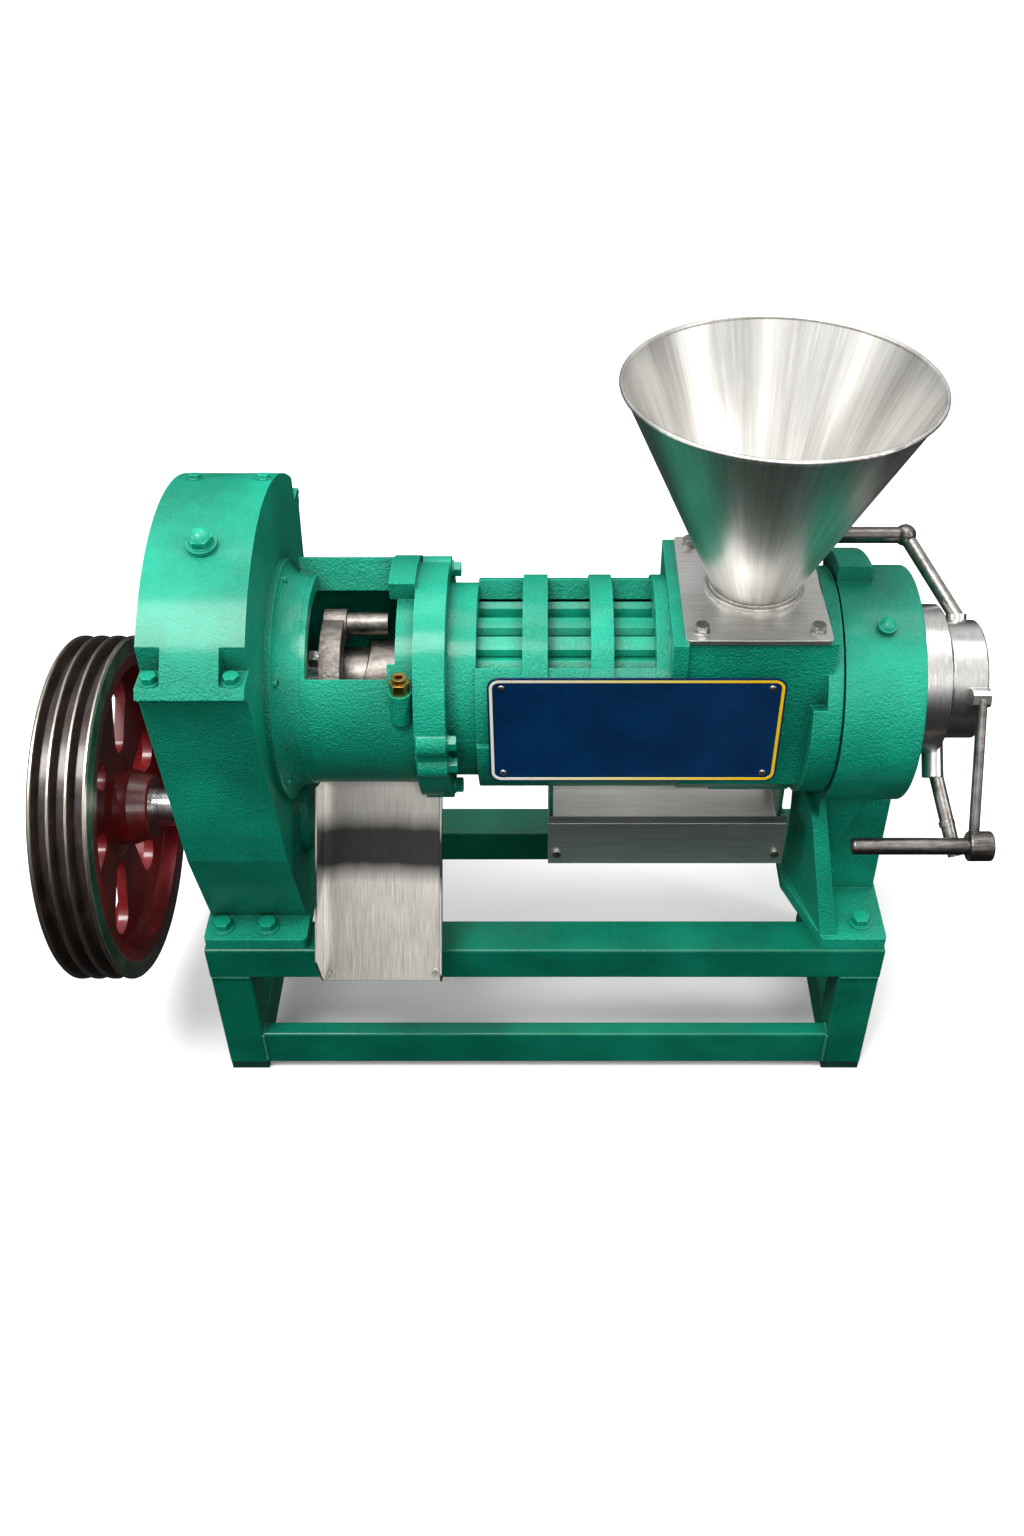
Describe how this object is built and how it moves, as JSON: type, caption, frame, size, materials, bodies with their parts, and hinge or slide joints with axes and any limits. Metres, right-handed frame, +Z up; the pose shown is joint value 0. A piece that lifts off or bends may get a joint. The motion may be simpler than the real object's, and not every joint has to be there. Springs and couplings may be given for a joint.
{
  "type": "screw oil press",
  "caption": "Belt-driven screw oil press: grooved pulley, gearbox, feed hopper, barred pressing cage, cake chute and oil tray on a welded frame.",
  "frame": {"origin": "centre of the footprint of the whole machine, at the floor under its foot pads", "axes": "+X along the screw axis from the pulley towards the adjusting handle, +Y to the back of the machine, +Z up"},
  "size_m": [1.007, 0.4, 0.8706],
  "materials": {
    "castings": "gloss emerald enamel with hammered speckle",
    "frame_steel": "gloss dark green enamel",
    "dark_bolts": "blackened steel, slightly oily",
    "zinc_screws": "bright zinc plate",
    "machined_steel": "turned bright steel",
    "dark_steel": "dark worn steel",
    "stainless": "brushed stainless sheet",
    "pulley_iron": "maroon enamel web, bare turned grooves",
    "brass": "satin",
    "seal_rubber": "matt",
    "bearing_steel": "ground",
    "cast_grey": "rough as cast",
    "foot_rubber": "matt",
    "plate_enamel": "navy enamel with a plain pale border"
  },
  "bodies": {
    "root": {"top_rails": "frame_steel", "legs": "frame_steel", "lower_rails": "frame_steel", "foot_pads": "foot_rubber", "gearbox_housing": "castings", "gearbox_cover": "castings", "cover_bolts": "castings", "vent_plug": "castings", "input_cap": "castings", "blind_caps": "castings", "cap_screws": "dark_bolts", "gearbox_bearings": "bearing_steel", "press_body": "castings", "shaft_seal": "seal_rubber", "brass_fitting": "brass", "cake_ring": "dark_steel", "cage_upper": "castings", "cage_lower": "castings", "cage_bolts": "castings", "flange_bolts": "castings", "cage_bars": "castings", "bar_seats": "castings", "feed_body": "castings", "hopper_plate": "stainless", "hopper_bolts": "dark_bolts", "hopper": "stainless", "hopper_collar": "stainless", "thrust_housing": "castings", "foot_bolts": "castings", "housing_plug": "castings", "adjusting_nut": "machined_steel", "scraper_bracket": "cast_grey", "scraper_rod": "dark_bolts", "chamber_bolts": "dark_bolts", "cake_chute": "stainless", "sheet_screws": "zinc_screws", "oil_tray": "stainless", "sheet_brackets": "frame_steel", "nameplate": "plate_enamel"},
    "drive": {"pulley": "pulley_iron", "input_shaft": "machined_steel", "input_pinion": "dark_steel", "pulley_key": "machined_steel", "pulley_nut": "dark_bolts"},
    "layshaft": {"layshaft": "dark_steel", "layshaft_wheel": "dark_steel"},
    "bull_gear": {"output_gear": "dark_steel", "gear_key": "machined_steel"},
    "bearing_carrier": {"bearing_cup": "machined_steel", "thrust_bearing": "bearing_steel"},
    "press_screw": {"press_shaft": "machined_steel", "worm_segments": "dark_steel", "choke_cone": "dark_steel", "cake_breaker": "dark_steel"},
    "adjusting_handle": {"adjusting_sleeve": "machined_steel", "handle_arms": "dark_bolts", "handle_grips": "dark_bolts"},
    "lock": {"lock_ring": "machined_steel", "lock_lever": "dark_steel"}
  },
  "joints": [
    {"name": "pulley_spin", "type": "hinge", "parent": "root", "child": "drive", "pos_m": [-0.4685, 0, 0.337], "axis": [1, 0, 0], "continuous": true},
    {"name": "layshaft_spin", "type": "hinge", "parent": "root", "child": "layshaft", "pos_m": [-0.3035, 0.0512, 0.39847], "axis": [1, 0, 0], "continuous": true},
    {"name": "output_spin", "type": "hinge", "parent": "root", "child": "bull_gear", "pos_m": [-0.3035, 0, 0.525], "axis": [1, 0, 0], "continuous": true},
    {"name": "adjust_slide", "type": "slide", "parent": "root", "child": "bearing_carrier", "axis": [1, 0, 0], "range_m": [-0.003, 0]},
    {"name": "handle_turn", "type": "hinge", "parent": "bearing_carrier", "child": "adjusting_handle", "pos_m": [0.4715, 0, 0.525], "axis": [1, 0, 0], "range_deg": [-90, 0]},
    {"name": "screw_spin", "type": "hinge", "parent": "bearing_carrier", "child": "press_screw", "pos_m": [0.0315, 0, 0.525], "axis": [1, 0, 0], "continuous": true},
    {"name": "lock_turn", "type": "hinge", "parent": "root", "child": "lock", "pos_m": [0.4345, 0, 0.525], "axis": [1, 0, 0], "range_deg": [0, 60]}
  ],
  "couplings": [
    {"joint": "layshaft_spin", "follows": "pulley_spin", "ratio": -0.52381},
    {"joint": "output_spin", "follows": "pulley_spin", "ratio": 0.13823},
    {"joint": "screw_spin", "follows": "pulley_spin", "ratio": 0.13823},
    {"joint": "adjust_slide", "follows": "handle_turn", "m_per_rad": 0.0019099}
  ]
}
